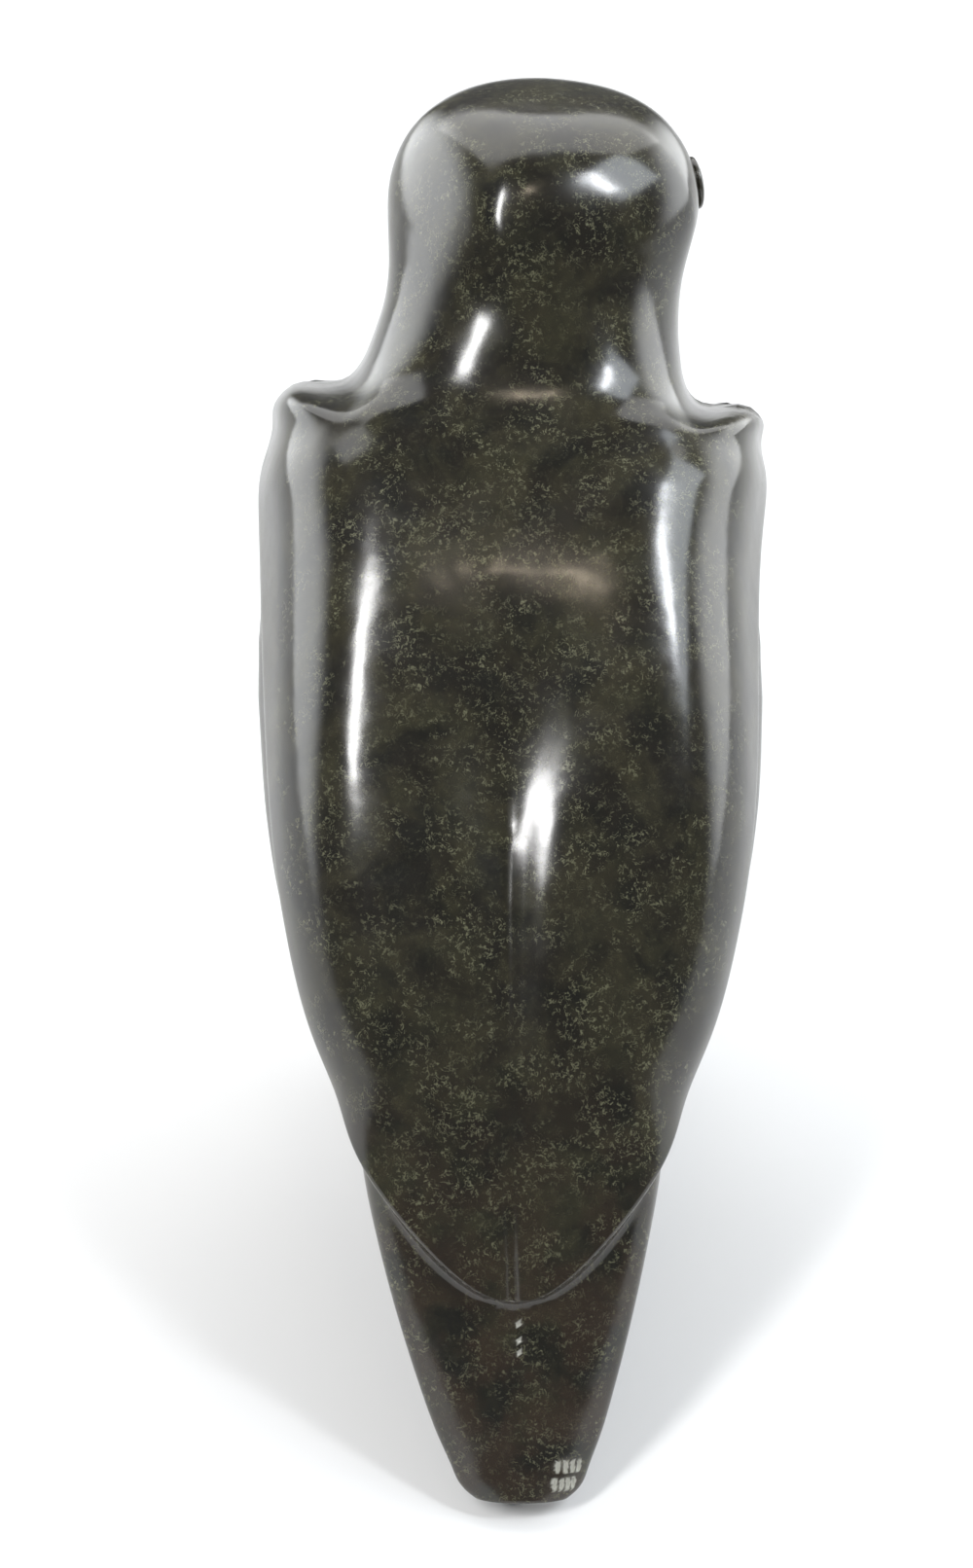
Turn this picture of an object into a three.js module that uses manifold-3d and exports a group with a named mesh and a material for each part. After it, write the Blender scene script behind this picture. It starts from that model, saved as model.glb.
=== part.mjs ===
// A perched hawk carved and polished from a single block of soapstone, on a low rock of the same stone.
// Millimetres, +Z up. The bird faces -Y and leans on its tail, which points to +Y. The origin is the
// middle of the flat underside.
import * as THREE from 'three';
import { mergeVertices } from 'three/addons/utils/BufferGeometryUtils.js';
import Module from 'manifold-3d';

const wasm = await Module();
wasm.setup();

// ---- driving dimensions ------------------------------------------------------------------------

const TAIL_END = { y: 84, z: 4.5 }; // where the line of the back starts, at the end of the tail
const CROWN_AT = 236; // length of that line, from the end of the tail up to the crown
const NECK_AT = 186; // where the neck leaves the shoulders

const WING_THICKNESS = 3.0; // how far the folded wings stand proud of the body
const WING_TIP_AT = 34.4; // where the crossed wing tips end, over the tail
const WING_TIP_ROUNDING = 8.2; // radius of the tip
const WING_TIP_SLANT = 0.58; // how fast the tips widen upwards
const WING_LEDGE = 1.0; // width of the step at the wings' edge
const WING_WRAP = 98; // how far round the flank, from the middle of the back, a wing reaches
const WRIST_AT = 182; // top of the folded wing, at the shoulder
const WRIST_INNER = 30; // from the middle of the back to the hollow between wrist and neck
const WRIST_OUTER = 38; // from the middle of the back to the knuckle of the wrist

const CHANNEL_DEPTH = 0.8; // the fine line where the wings meet, at the bottom of the valley between them
const CHANNEL_WIDTH = 0.9;

const WRIST_DROP = 3.2; // how much lower the right wrist is than the left
const HEAD_TURN = THREE.MathUtils.degToRad(20); // to the bird's right

const STONE = { color: 0x33302a, roughness: 0.22, metalness: 0 };

// ---- curves ------------------------------------------------------------------------------------

// A smooth curve (natural cubic spline) through [place, value] pairs.
function curve(...pairs) {
  const x = pairs.map((p) => p[0]);
  const y = pairs.map((p) => p[1]);
  const n = x.length - 1;
  const bend = new Array(n + 1).fill(0);
  const work = new Array(n + 1).fill(0);
  for (let i = 1; i < n; i++) {
    const share = (x[i] - x[i - 1]) / (x[i + 1] - x[i - 1]);
    const p = share * bend[i - 1] + 2;
    bend[i] = (share - 1) / p;
    const turn = (y[i + 1] - y[i]) / (x[i + 1] - x[i]) - (y[i] - y[i - 1]) / (x[i] - x[i - 1]);
    work[i] = ((6 * turn) / (x[i + 1] - x[i - 1]) - share * work[i - 1]) / p;
  }
  for (let i = n - 1; i >= 0; i--) bend[i] = bend[i] * bend[i + 1] + work[i];
  return (at) => {
    const t = Math.min(Math.max(at, x[0]), x[n]);
    let i = 0;
    while (i < n - 1 && t > x[i + 1]) i++;
    const h = x[i + 1] - x[i];
    const a = (x[i + 1] - t) / h;
    const b = (t - x[i]) / h;
    return a * y[i] + b * y[i + 1] + (((a ** 3 - a) * bend[i] + (b ** 3 - b) * bend[i + 1]) * h * h) / 6;
  };
}

const ease = (from, to, at) => THREE.MathUtils.smoothstep(at, from, to);

// ---- the bird's line, sized along the back from the end of the tail -----------------------------

// Slope of the back above the horizontal, in degrees.
const backSlope = curve(
  [0, 63], [33, 62], [62, 59], [95, 54], [127, 48], [150, 42], [168, 39], [178, 44],
  [188, 59], [197, 70], [205, 72], [214, 52], [224, 27], [CROWN_AT, 0],
);
// Tilt of the sections: the way the body's own axis points, in degrees above the horizontal.
const axisTilt = curve(
  [0, 63], [40, 58], [80, 50], [130, 48], [165, 55], [185, 70], [200, 82], [212, 88], [CROWN_AT, 90],
);
// Depth of a section from back to front, and its half width, without the wings.
const bodyDepth = curve(
  [0, 6.5], [10, 9], [33, 13], [50, 21], [66, 36], [84, 54], [105, 67], [130, 76], [150, 78], [167, 74],
  [180, 65], [190, 53.5], [197, 48.5], [205, 50],
);
const halfWidth = curve(
  [0, 7.2], [1.5, 9.1], [5, 11.1], [10, 13.1], [17, 15.4], [31, 19.2], [44, 22.2], [57, 24.6], [66, 26.1],
  [76, 30.6], [90, 36], [104, 39.8], [120, 42.2], [145, 43.4], [165, 42.6], [173, 41.8], [178, 41],
  [181.6, 39.2], [183.4, 33.6], [185.6, 29.4], [189, 26.8], [194, 25.2], [199, 25.4], [206, 26.9],
  [212, 27.2], [218, 26.8],
);
// How far the line lies to the bird's right of the middle plane.
const sway = curve(
  [0, 1.5], [25, 0.6], [50, 0], [90, 0], [130, 0], [165, 0.1], [186, 2.4], [200, 4.6], [212, 4.2],
  [CROWN_AT, 2.6],
);
// The valley between the wings: its place to the bird's left of the middle plane, depth and half width.
const grooveAt = curve([30, 0.2], [60, 0.6], [100, 1.2], [140, 1.6]);
const valleyDepth = curve(
  [34, 0.8], [60, 1.5], [90, 2], [108, 2.5], [122, 2.4], [133, 1.4], [144, 0.4], [152, 0],
);
const valleyWidth = curve([34, 4.4], [90, 4.8], [104, 5.6], [114, 7.4], [126, 10.5], [145, 15]);
const HEAD_DOME_AT = 205; // above this the sections close to the crown

// Points of the back line, from adding up its slope.
const STEP = 0.5;
const backLine = [new THREE.Vector2(TAIL_END.y, TAIL_END.z)];
for (let s = STEP / 2; s < CROWN_AT; s += STEP) {
  const slope = THREE.MathUtils.degToRad(backSlope(s));
  const last = backLine.at(-1);
  backLine.push(new THREE.Vector2(last.x - STEP * Math.cos(slope), last.y + STEP * Math.sin(slope)));
}

function backPoint(s) {
  const i = Math.min(Math.floor(s / STEP), backLine.length - 2);
  return backLine[i].clone().lerp(backLine[i + 1], s / STEP - i);
}

// How much smaller a section in the head's dome is than the one where the dome starts.
function domeShare(s) {
  const rise = (s - HEAD_DOME_AT) / (CROWN_AT - HEAD_DOME_AT);
  return rise <= 0 ? 1 : Math.cos((Math.min(rise, 1) * Math.PI) / 2) ** 0.68;
}

// ---- the shape of a section ---------------------------------------------------------------------

// How square the back half of a section is, and its front half: 2 is an ellipse.
const backFullness = curve(
  [0, 2.3], [33, 2.6], [70, 3.2], [105, 5.4], [160, 6], [179, 3.8], [195, 2.1], [CROWN_AT, 2.05],
);
const frontFullness = curve([0, 2.2], [60, 2.0], [110, 2.0], [160, 2.1], [190, 2.1], [CROWN_AT, 2.1]);
// How much narrower the back of a section is than its widest part, as a share: the flanks flare towards
// the breast.
const flare = curve(
  [0, 0], [66, 0], [95, 0.16], [120, 0.23], [165, 0.21], [180, 0.09], [196, 0], [CROWN_AT, 0],
);
// Where a section is widest, as a share of its depth measured from the back.
const widestAt = curve(
  [0, 0.5], [40, 0.5], [80, 0.42], [120, 0.4], [160, 0.42], [190, 0.47], [CROWN_AT, 0.48],
);

const NECK_AXIS_Y = backPoint(NECK_AT + 12).x - 25;

// The head turns about the neck's own upright axis.
function turned(point, share, aside) {
  const turn = -HEAD_TURN * share;
  const y = point.y - NECK_AXIS_Y;
  return new THREE.Vector3(
    point.x * Math.cos(turn) - y * Math.sin(turn) - aside,
    NECK_AXIS_Y + point.x * Math.sin(turn) + y * Math.cos(turn),
    point.z,
  );
}

// Angle round the section, from the middle of the back, of the edge of a wing that ends at the place tipAt.
function wingEdgeAngle(s, tipAt) {
  const up = Math.max(s - tipAt, 0);
  const reach = Math.sqrt((WING_TIP_SLANT * up) ** 2 + 2 * WING_TIP_ROUNDING * up) / halfWidth(s);
  const held = reach / (1 + reach ** 8) ** (1 / 8);
  const n = backFullness(s);
  const past = THREE.MathUtils.degToRad(WING_WRAP - 90) * held ** 8;
  return Math.atan2(held, (1 - held ** n) ** (1 / n)) + past;
}

// Height of the wing above the body, x from the middle plane. Between the wings lies a valley that opens
// out upwards, with a fine channel along its bottom.
function wingHeight(s, x) {
  const fade = 1 - 0.75 * ease(168, 190, s) - 0.25 * ease(186, 200, s);
  const out = x - grooveAt(s);
  const valley = valleyDepth(s) * Math.exp(-((out / valleyWidth(s)) ** 2));
  const channel = CHANNEL_DEPTH * (1 - ease(98, 122, s)) * Math.exp(-((out / CHANNEL_WIDTH) ** 2));
  return WING_THICKNESS * fade - valley - channel;
}

// The hollow between the wrist and the neck.
function shoulderHollow(s, x) {
  return -1.2 * Math.exp(-(((s - WRIST_AT - 2) / 7) ** 2) - ((x - WRIST_INNER) / 5) ** 2);
}

// How far the top of the shoulder rises at the wrist's knuckle, and dips beside the neck.
function shoulderRise(s, x) {
  const knuckle = 1.5 * Math.exp(-(((s - WRIST_AT) / 4) ** 2) - ((x - WRIST_OUTER) / 3.5) ** 2);
  const dip = -1.3 * Math.exp(-(((s - WRIST_AT - 2) / 4) ** 2) - ((x - WRIST_INNER) / 4) ** 2);
  return knuckle + dip;
}

// A point of the skin: s along the back, angle round the section, height above the body.
function skin(s, angle, side, wing) {
  const share = domeShare(s);
  const depth = bodyDepth(s) * share;
  const level = s + (side < 0 ? WRIST_DROP * Math.exp(-(((s - 184) / 11) ** 2)) : 0);
  const width = halfWidth(level) * share;
  const behind = angle < Math.PI / 2;
  const n = behind ? backFullness(s) : frontFullness(s);
  const reach = behind ? depth * widestAt(s) : depth * (1 - widestAt(s));
  const a = Math.abs(Math.sin(angle));
  const c = Math.abs(Math.cos(angle));
  const r = (a ** n + c ** n) ** (-1 / n);
  const across = width * a * r * (behind ? 1 - flare(s) * c * r : 1);
  const along = reach * c * r * (behind ? -1 : 1);
  const normal = new THREE.Vector2(
    (across / Math.max(width, 0.01)) ** (n - 1) / Math.max(width, 0.01),
    (((behind ? -1 : 1) * (Math.abs(along) / Math.max(reach, 0.01)) ** (n - 1)) / Math.max(reach, 0.01)),
  ).normalize();
  const height = (wing ? wingHeight(s, side * across) : 0) + shoulderHollow(level, across) * (wing ? 1 : 0.4);
  const tilt = THREE.MathUtils.degToRad(axisTilt(s));
  const inward = new THREE.Vector2(-Math.sin(tilt), -Math.cos(tilt));
  const upward = new THREE.Vector2(-Math.cos(tilt), Math.sin(tilt));
  const line = backPoint(s).addScaledVector(inward, depth * widestAt(s) + along + normal.y * height);
  line.addScaledVector(upward, shoulderRise(level, across));
  const point = new THREE.Vector3(side * (across + normal.x * height), line.x, line.y);
  return turned(point, ease(NECK_AT, NECK_AT + 30, s), sway(s));
}

// ---- the bird's skin as one closed surface -------------------------------------------------------

const WING_COLUMNS = 13;
const BODY_COLUMNS = 12;

function birdGeometry() {
  const points = [];
  const faces = [];
  const add = (p) => points.push(p) - 1;
  const places = [];
  const underTip = WING_TIP_AT - WING_LEDGE;
  for (let i = 0; i <= 7; i++) places.push(underTip * (i / 7) ** 1.8);
  for (let i = 1; i <= 3; i++) places.push(underTip + WING_LEDGE * (i / 3) ** 2);
  for (let i = 1; i <= 9; i++) places.push(WING_TIP_AT + 30 * (i / 9) ** 2);
  for (let i = 1; i <= 14; i++) places.push(WING_TIP_AT + 30 + ((174 - WING_TIP_AT - 30) * i) / 14);
  for (let i = 1; i <= 12; i++) places.push(174 + (i * 18) / 12);
  for (let i = 1; i <= 13; i++) places.push(192 + ((CROWN_AT - 1 - 192) * i) / 13);
  // Each row lists, for both sides, the wing's columns and the body's columns.
  const rows = places.map((s) => {
    const edge = wingEdgeAngle(s, WING_TIP_AT);
    const wall = (0.5 * WING_LEDGE * ease(underTip, WING_TIP_AT + 8, s)) / halfWidth(s);
    const under = wingEdgeAngle(s, underTip) + wall;
    const side = (sign) => {
      const wing = [];
      const body = [];
      for (let a = 0; a <= WING_COLUMNS && s >= underTip; a++) {
        wing.push(skin(Math.max(s, WING_TIP_AT), edge * (a / WING_COLUMNS) ** 1.25, sign, true));
      }
      for (let b = 0; b <= BODY_COLUMNS; b++) {
        body.push(skin(s, under + ((Math.PI - under) * b) / BODY_COLUMNS, sign, false));
      }
      return { wing: wing.map(add), body: body.map(add) };
    };
    return { left: side(1), right: side(-1) };
  });
  const quad = (a, b, c, d, flip) => {
    if (flip) faces.push([a, b, c], [a, c, d]);
    else faces.push([a, c, b], [a, d, c]);
  };
  for (let i = 0; i + 1 < rows.length; i++) {
    for (const side of ['left', 'right']) {
      const flip = side === 'right';
      const low = rows[i][side];
      const high = rows[i + 1][side];
      for (let b = 0; b < BODY_COLUMNS; b++) {
        quad(low.body[b], low.body[b + 1], high.body[b + 1], high.body[b], flip);
      }
      if (!low.wing.length) continue;
      for (let a = 0; a < WING_COLUMNS; a++) {
        quad(low.wing[a], low.wing[a + 1], high.wing[a + 1], high.wing[a], flip);
      }
      quad(low.wing[WING_COLUMNS], low.body[0], high.body[0], high.wing[WING_COLUMNS], flip);
    }
  }
  // The end of the tail and the crown are closed to a point each.
  const closeTo = (row, p, flip) => {
    const back = [...row.right.wing, ...row.right.body].reverse();
    const loop = [...row.left.wing, ...row.left.body, ...back];
    loop.forEach((from, i) => {
      const to = loop[(i + 1) % loop.length];
      faces.push(flip ? [from, to, p] : [from, p, to]);
    });
  };
  const under = skin(0, Math.PI, 1, false);
  const over = skin(0, 0, 1, false);
  closeTo(rows[0], add(over.lerp(under, 0.5).add(new THREE.Vector3(0, 0.2, -0.5))), true);
  closeTo(rows.at(-1), add(skin(CROWN_AT, 0, 1, false)), false);
  return solidFrom(points, faces);
}

// A geometry with merged corners and no collapsed faces.
function solidFrom(points, faces) {
  const soup = new THREE.BufferGeometry();
  soup.setAttribute('position', new THREE.Float32BufferAttribute(points.flatMap((p) => [p.x, p.y, p.z]), 3));
  soup.setIndex(faces.flat());
  const merged = mergeVertices(soup, 1e-3);
  const index = merged.index.array;
  const kept = [];
  for (let i = 0; i < index.length; i += 3) {
    const [a, b, c] = [index[i], index[i + 1], index[i + 2]];
    if (a !== b && b !== c && c !== a) kept.push(a, b, c);
  }
  merged.setIndex(kept);
  return merged;
}

function toManifold(geometry) {
  return new wasm.Manifold(new wasm.Mesh({
    numProp: 3,
    vertProperties: new Float32Array(geometry.attributes.position.array),
    triVerts: new Uint32Array(geometry.index.array),
  }));
}

function fromManifold(manifold) {
  const mesh = manifold.getMesh();
  const geometry = new THREE.BufferGeometry();
  geometry.setAttribute('position', new THREE.Float32BufferAttribute(mesh.vertProperties, 3));
  geometry.setIndex(new THREE.Uint32BufferAttribute(mesh.triVerts, 1));
  geometry.computeVertexNormals();
  return geometry;
}

// A closed surface through rings of equally many points, with a point at each end.
function loft(first, rings, last) {
  const around = rings[0].length;
  const points = [first, ...rings.flat(), last];
  const faces = [];
  for (let k = 0; k < around; k++) {
    const next = (k + 1) % around;
    faces.push([0, 1 + next, 1 + k]);
    for (let r = 0; r + 1 < rings.length; r++) {
      const low = 1 + r * around;
      const high = low + around;
      faces.push([low + k, low + next, high + next], [low + k, high + next, high + k]);
    }
    const top = 1 + (rings.length - 1) * around;
    faces.push([top + k, top + next, points.length - 1]);
  }
  return toManifold(solidFrom(points, faces));
}

// A limb of round section along a bent line: each joint is [x, y, z, half width, half height].
function limb(joints, around) {
  const at = joints.map((j) => new THREE.Vector3(j[0], j[1], j[2]));
  const rings = at.map((p, i) => {
    const along = at[Math.min(i + 1, at.length - 1)].clone().sub(at[Math.max(i - 1, 0)]).normalize();
    const upward = along.clone().cross(new THREE.Vector3(1, 0, 0)).normalize();
    const aside = upward.clone().cross(along);
    return Array.from({ length: around }, (_, k) => {
      const turn = (2 * Math.PI * k) / around;
      const across = joints[i][3] * Math.cos(turn);
      const over = joints[i][4] * Math.sin(turn);
      return p.clone().addScaledVector(aside, across).addScaledVector(upward, over);
    });
  });
  const end = (i, from) => at[i].clone().add(at[i].clone().sub(at[from]).setLength(joints[i][4] * 0.35));
  return loft(end(0, 1), rings, end(at.length - 1, at.length - 2));
}

// ---- the rock, and the stone left between it and the bird ----------------------------------------

// Levels of a mound: height, front end, back end, half width, and how much it narrows to the back.
function mound(levels, around) {
  const rings = levels.map(([z, front, back, width, narrowing]) => Array.from({ length: around }, (_, k) => {
    const turn = (2 * Math.PI * k) / around;
    const lengthwise = -Math.sign(Math.cos(turn)) * Math.abs(Math.cos(turn)) ** 0.85;
    const full = Math.sign(Math.sin(turn)) * Math.abs(Math.sin(turn)) ** 0.85;
    const across = width * full * (1 - narrowing * lengthwise);
    return new THREE.Vector3(across, (front + back) / 2 + ((back - front) / 2) * lengthwise, z);
  }));
  const centre = (level) => new THREE.Vector3(0, (level[1] + level[2]) / 2, level[0]);
  return loft(centre(levels[0]), rings, centre(levels.at(-1)));
}

const rock = mound([
  [0, -56, 79, 20.2, 0.58],
  [1.5, -58, 80, 21, 0.58],
  [7, -57, 79, 21, 0.56],
  [10.5, -53, 74, 19, 0.54],
  [12, -45, 66, 15, 0.5],
], 44);

const core = mound([
  [5, -22, 74, 14, 0.42],
  [12, -20, 73, 13, 0.3],
  [18, -18, 70, 12.5, 0.2],
  [28, -20, 63, 13.5, 0.1],
  [38, -26, 56, 17, 0.1],
  [46, -22, 42, 20, 0],
  [62, -20, 30, 16, 0],
], 32);

// ---- legs and feet -------------------------------------------------------------------------------

function leg(side) {
  const thigh = limb([
    [side * 15, -2, 62, 6, 6], [side * 18, -9, 56, 10.5, 12], [side * 18, -16, 46, 11, 12.5],
    [side * 16, -19, 36, 9, 9.5], [side * 14, -19, 27, 6.5, 6.5], [side * 13, -18, 22, 5, 5],
  ], 16);
  const shank = limb([
    [side * 14, -19, 32, 5.5, 5.5], [side * 13, -18, 24, 4.6, 4.6], [side * 13, -17, 16, 4.8, 4.8],
    [side * 13, -16, 10, 6, 6],
  ], 12);
  const toes = [-24, 0, 22].map((spread) => {
    const turn = THREE.MathUtils.degToRad(spread) * side;
    const out = (reach) => [side * 13 + Math.sin(turn) * reach, -17 - Math.cos(turn) * reach];
    return limb([
      [...out(-2), 13, 3.6, 3.6], [...out(5), 14.2, 3.3, 3.2], [...out(12), 13.2, 3, 3],
      [...out(18), 12.4, 2.6, 2.4], [...out(22), 12, 1.5, 1.7], [...out(25), 11, 0.6, 0.8],
    ], 10);
  });
  return [thigh, shank, ...toes];
}

// ---- the face ------------------------------------------------------------------------------------

const onHead = (x, y, z) => turned(new THREE.Vector3(x, y, z), 1, 5);

function beak() {
  // Along the ridge: forward of the face, height, half width, half height.
  const line = [
    [-7, 172, 8.5, 10], [-1, 172, 7.4, 9.6], [5, 171.5, 5.8, 8], [10, 168.8, 4.6, 6.4], [13.4, 164, 3.2, 4.6],
    [14.6, 158.6, 1.9, 2.8], [13.8, 154.6, 0.8, 1.1],
  ];
  return limb(line.map(([forward, z, width, height]) => {
    const p = onHead(0, NECK_AXIS_Y - 26 - forward, z);
    return [p.x, p.y, p.z, width, height];
  }), 16);
}

function eye(side) {
  const s = 209;
  const angle = THREE.MathUtils.degToRad(118);
  const p = skin(s, angle, side, false);
  const over = skin(s + 1, angle, side, false).sub(p);
  const round = skin(s, angle + 0.05, side, false).sub(p);
  const out = round.cross(over).multiplyScalar(side).normalize();
  const seat = new THREE.Quaternion().setFromUnitVectors(new THREE.Vector3(0, 0, 1), out);
  const ball = new THREE.SphereGeometry(4.6, 20, 12).scale(1, 1, 0.42).applyQuaternion(seat);
  const ring = new THREE.TorusGeometry(5.6, 0.7, 6, 24).applyQuaternion(seat);
  for (const g of [ball, ring]) g.translate(p.x, p.y, p.z);
  return { ball: closed(ball), ring: closed(ring) };
}

function closed(geometry) {
  geometry.deleteAttribute('normal');
  geometry.deleteAttribute('uv');
  return toManifold(mergeVertices(geometry, 1e-4));
}

// ---- one solid -----------------------------------------------------------------------------------

let stone = toManifold(birdGeometry());
for (const side of [1, -1]) {
  const { ball, ring } = eye(side);
  stone = stone.subtract(ring).add(ball);
  for (const part of leg(side)) stone = stone.add(part);
}
stone = stone.add(beak()).add(core).add(rock);

const group = new THREE.Group();
const bird = new THREE.Mesh(fromManifold(stone), new THREE.MeshStandardMaterial(STONE));
bird.name = 'bird';
group.add(bird);

export default group;
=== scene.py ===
"""A perched hawk carved and polished from one block of dark soapstone, on a low rock of the same stone."""
import math

import bmesh
import bpy
import numpy as np
from mathutils import Matrix, Vector


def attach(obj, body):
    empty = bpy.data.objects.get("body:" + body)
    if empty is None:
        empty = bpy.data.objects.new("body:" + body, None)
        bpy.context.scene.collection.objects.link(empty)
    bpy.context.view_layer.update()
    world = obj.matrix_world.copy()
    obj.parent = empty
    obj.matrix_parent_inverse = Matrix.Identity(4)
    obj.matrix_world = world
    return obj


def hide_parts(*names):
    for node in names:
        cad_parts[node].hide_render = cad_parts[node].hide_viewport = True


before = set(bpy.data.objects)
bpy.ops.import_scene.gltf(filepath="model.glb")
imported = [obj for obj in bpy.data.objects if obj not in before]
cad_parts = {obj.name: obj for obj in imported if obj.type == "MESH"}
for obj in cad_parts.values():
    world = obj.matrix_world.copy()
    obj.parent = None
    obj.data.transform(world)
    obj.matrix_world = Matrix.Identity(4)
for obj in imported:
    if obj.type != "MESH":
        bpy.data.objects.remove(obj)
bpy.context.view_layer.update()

bl_info = {
    "name": "Soapstone hawk",
    "version": (1, 0, 0),
    "blender": (4, 5, 0),
    "location": "3D View > Sidebar > Hawk",
    "description": "Builds a polished soapstone hawk with folded wings and its studio",
    "category": "Add Mesh",
}

MM = 0.001


# ---- settings ----------------------------------------------------------------------------------


def length(name, text, default):
    return bpy.props.FloatProperty(name=name, description=text, default=default, unit="LENGTH", precision=5)


def colour(name, text, default):
    return bpy.props.FloatVectorProperty(
        name=name, description=text, default=default, size=3, subtype="COLOR_GAMMA", min=0, max=1
    )


class HawkShape(bpy.types.PropertyGroup):
    wing_thickness: length("Wing thickness", "How far the folded wings stand proud of the body", 3.0 * MM)
    wing_ledge: length("Wing ledge", "Width of the step at the wings' edge", 1.0 * MM)
    tip_rounding: length("Wing tip rounding", "Radius of the crossed wing tips over the tail", 8.2 * MM)
    channel_depth: length("Channel depth", "Depth of the fine line where the wings meet", 0.8 * MM)
    channel_width: length("Channel width", "Half width of the fine line where the wings meet", 0.9 * MM)
    head_turn: bpy.props.FloatProperty(
        name="Head turn", description="Turn of the head to the bird's right", default=math.radians(20),
        subtype="ANGLE",
    )


class HawkStone(bpy.types.PropertyGroup):
    ground: colour("Ground", "Darkest colour of the stone", (0.068, 0.065, 0.045))
    cloud: colour("Cloud", "Colour of the stone's cloudy patches", (0.175, 0.168, 0.115))
    warm: colour("Warm cloud", "Browner patches, mostly low on the tail", (0.175, 0.135, 0.1))
    fleck: colour("Fleck", "Colour of the fine worm-like flecks", (0.37, 0.37, 0.29))
    # Pale stone colour. On the convex carved edges it is partly wear and partly a painted highlight line; the
    # sawn underside also mixes it in.
    pale_stone_and_highlight: colour("Worn edge", "Colour where the carved edges have rubbed pale", (0.4, 0.39, 0.36))
    bruise: colour("Bruise", "Colour of the stone inside the small marks on the tail", (0.66, 0.66, 0.62))
    fleck_size: length("Fleck size", "Length of a fleck", 0.85 * MM)
    cloud_size: length("Cloud size", "Size of the cloudy patches", 11 * MM)
    polish: bpy.props.FloatProperty(
        name="Roughness", description="Roughness of the polish", default=0.17, min=0, max=1
    )


class HawkStage(bpy.types.PropertyGroup):
    floor: colour("Floor", "Colour of the studio floor", (0.83, 0.83, 0.83))
    camera_distance: length("Camera distance", "From the camera to the middle of the bird", 0.5)
    camera_height: bpy.props.FloatProperty(
        name="Camera angle", description="Height of the camera above the horizon", default=math.radians(34),
        subtype="ANGLE",
    )


def settings(context):
    return context.scene.hawk_shape, context.scene.hawk_stone, context.scene.hawk_stage


# ---- curves, in millimetres ----------------------------------------------------------------------


def curve(*pairs):
    """A smooth curve (natural cubic spline) through pairs of place and value."""
    x = np.array([p[0] for p in pairs], float)
    y = np.array([p[1] for p in pairs], float)
    n = len(x) - 1
    bend = np.zeros(n + 1)
    work = np.zeros(n + 1)
    for i in range(1, n):
        share = (x[i] - x[i - 1]) / (x[i + 1] - x[i - 1])
        p = share * bend[i - 1] + 2
        bend[i] = (share - 1) / p
        turn = (y[i + 1] - y[i]) / (x[i + 1] - x[i]) - (y[i] - y[i - 1]) / (x[i] - x[i - 1])
        work[i] = (6 * turn / (x[i + 1] - x[i - 1]) - share * work[i - 1]) / p
    for i in range(n - 1, -1, -1):
        bend[i] = bend[i] * bend[i + 1] + work[i]

    def value(at):
        t = np.clip(at, x[0], x[n])
        i = np.clip(np.searchsorted(x, t, side="left") - 1, 0, n - 1)
        h = x[i + 1] - x[i]
        a = (x[i + 1] - t) / h
        b = (t - x[i]) / h
        return a * y[i] + b * y[i + 1] + ((a**3 - a) * bend[i] + (b**3 - b) * bend[i + 1]) * h * h / 6

    return value


def ease(low, high, at):
    t = np.clip((at - low) / (high - low), 0, 1)
    return t * t * (3 - 2 * t)


# ---- the bird's line, sized along the back from the end of the tail ------------------------------

CROWN_AT = 236.0
NECK_AT = 186.0
HEAD_DOME_AT = 205.0
WING_TIP_AT = 34.4
WING_TIP_SLANT = 0.58
WING_WRAP = 98.0
WRIST_AT = 182.0
WRIST_INNER = 30.0
WRIST_OUTER = 38.0
WRIST_DROP = 3.2
TAIL_END = (84.0, 4.5)
STEP = 0.5

back_slope = curve(
    (0, 63), (33, 62), (62, 59), (95, 54), (127, 48), (150, 42), (168, 39), (178, 44),
    (188, 59), (197, 70), (205, 72), (214, 52), (224, 27), (CROWN_AT, 0),
)
axis_tilt = curve(
    (0, 63), (40, 58), (80, 50), (130, 48), (165, 55), (185, 70), (200, 82), (212, 88), (CROWN_AT, 90)
)
body_depth = curve(
    (0, 6.5), (10, 9), (33, 13), (50, 21), (66, 36), (84, 54), (105, 67), (130, 76), (150, 78), (167, 74),
    (180, 65), (190, 53.5), (197, 48.5), (205, 50),
)
half_width = curve(
    (0, 7.2), (1.5, 9.1), (5, 11.1), (10, 13.1), (17, 15.4), (31, 19.2), (44, 22.2), (57, 24.6), (66, 26.1),
    (76, 30.6), (90, 36), (104, 39.8), (120, 42.2), (145, 43.4), (165, 42.6), (173, 41.8), (178, 41),
    (181.6, 39.2), (183.4, 33.6), (185.6, 29.4), (189, 26.8), (194, 25.2), (199, 25.4), (206, 26.9),
    (212, 27.2), (218, 26.8),
)
sway = curve(
    (0, 1.5), (25, 0.6), (50, 0), (90, 0), (130, 0), (165, 0.1), (186, 2.4), (200, 4.6), (212, 4.2),
    (CROWN_AT, 2.6),
)
back_fullness = curve(
    (0, 2.3), (33, 2.6), (70, 3.2), (105, 5.4), (160, 6), (179, 3.8), (195, 2.1), (CROWN_AT, 2.05)
)
flare = curve((0, 0), (66, 0), (95, 0.16), (120, 0.23), (165, 0.21), (180, 0.09), (196, 0), (CROWN_AT, 0))
front_fullness = curve((0, 2.2), (60, 2.0), (110, 2.0), (160, 2.1), (190, 2.1), (CROWN_AT, 2.1))
widest_at = curve((0, 0.5), (40, 0.5), (80, 0.42), (120, 0.4), (160, 0.42), (190, 0.47), (CROWN_AT, 0.48))
groove_at = curve((30, 0.2), (60, 0.6), (100, 1.2), (140, 1.6))
valley_depth = curve((34, 0.8), (60, 1.5), (90, 2), (108, 2.5), (122, 2.4), (133, 1.4), (144, 0.4), (152, 0))
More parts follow.
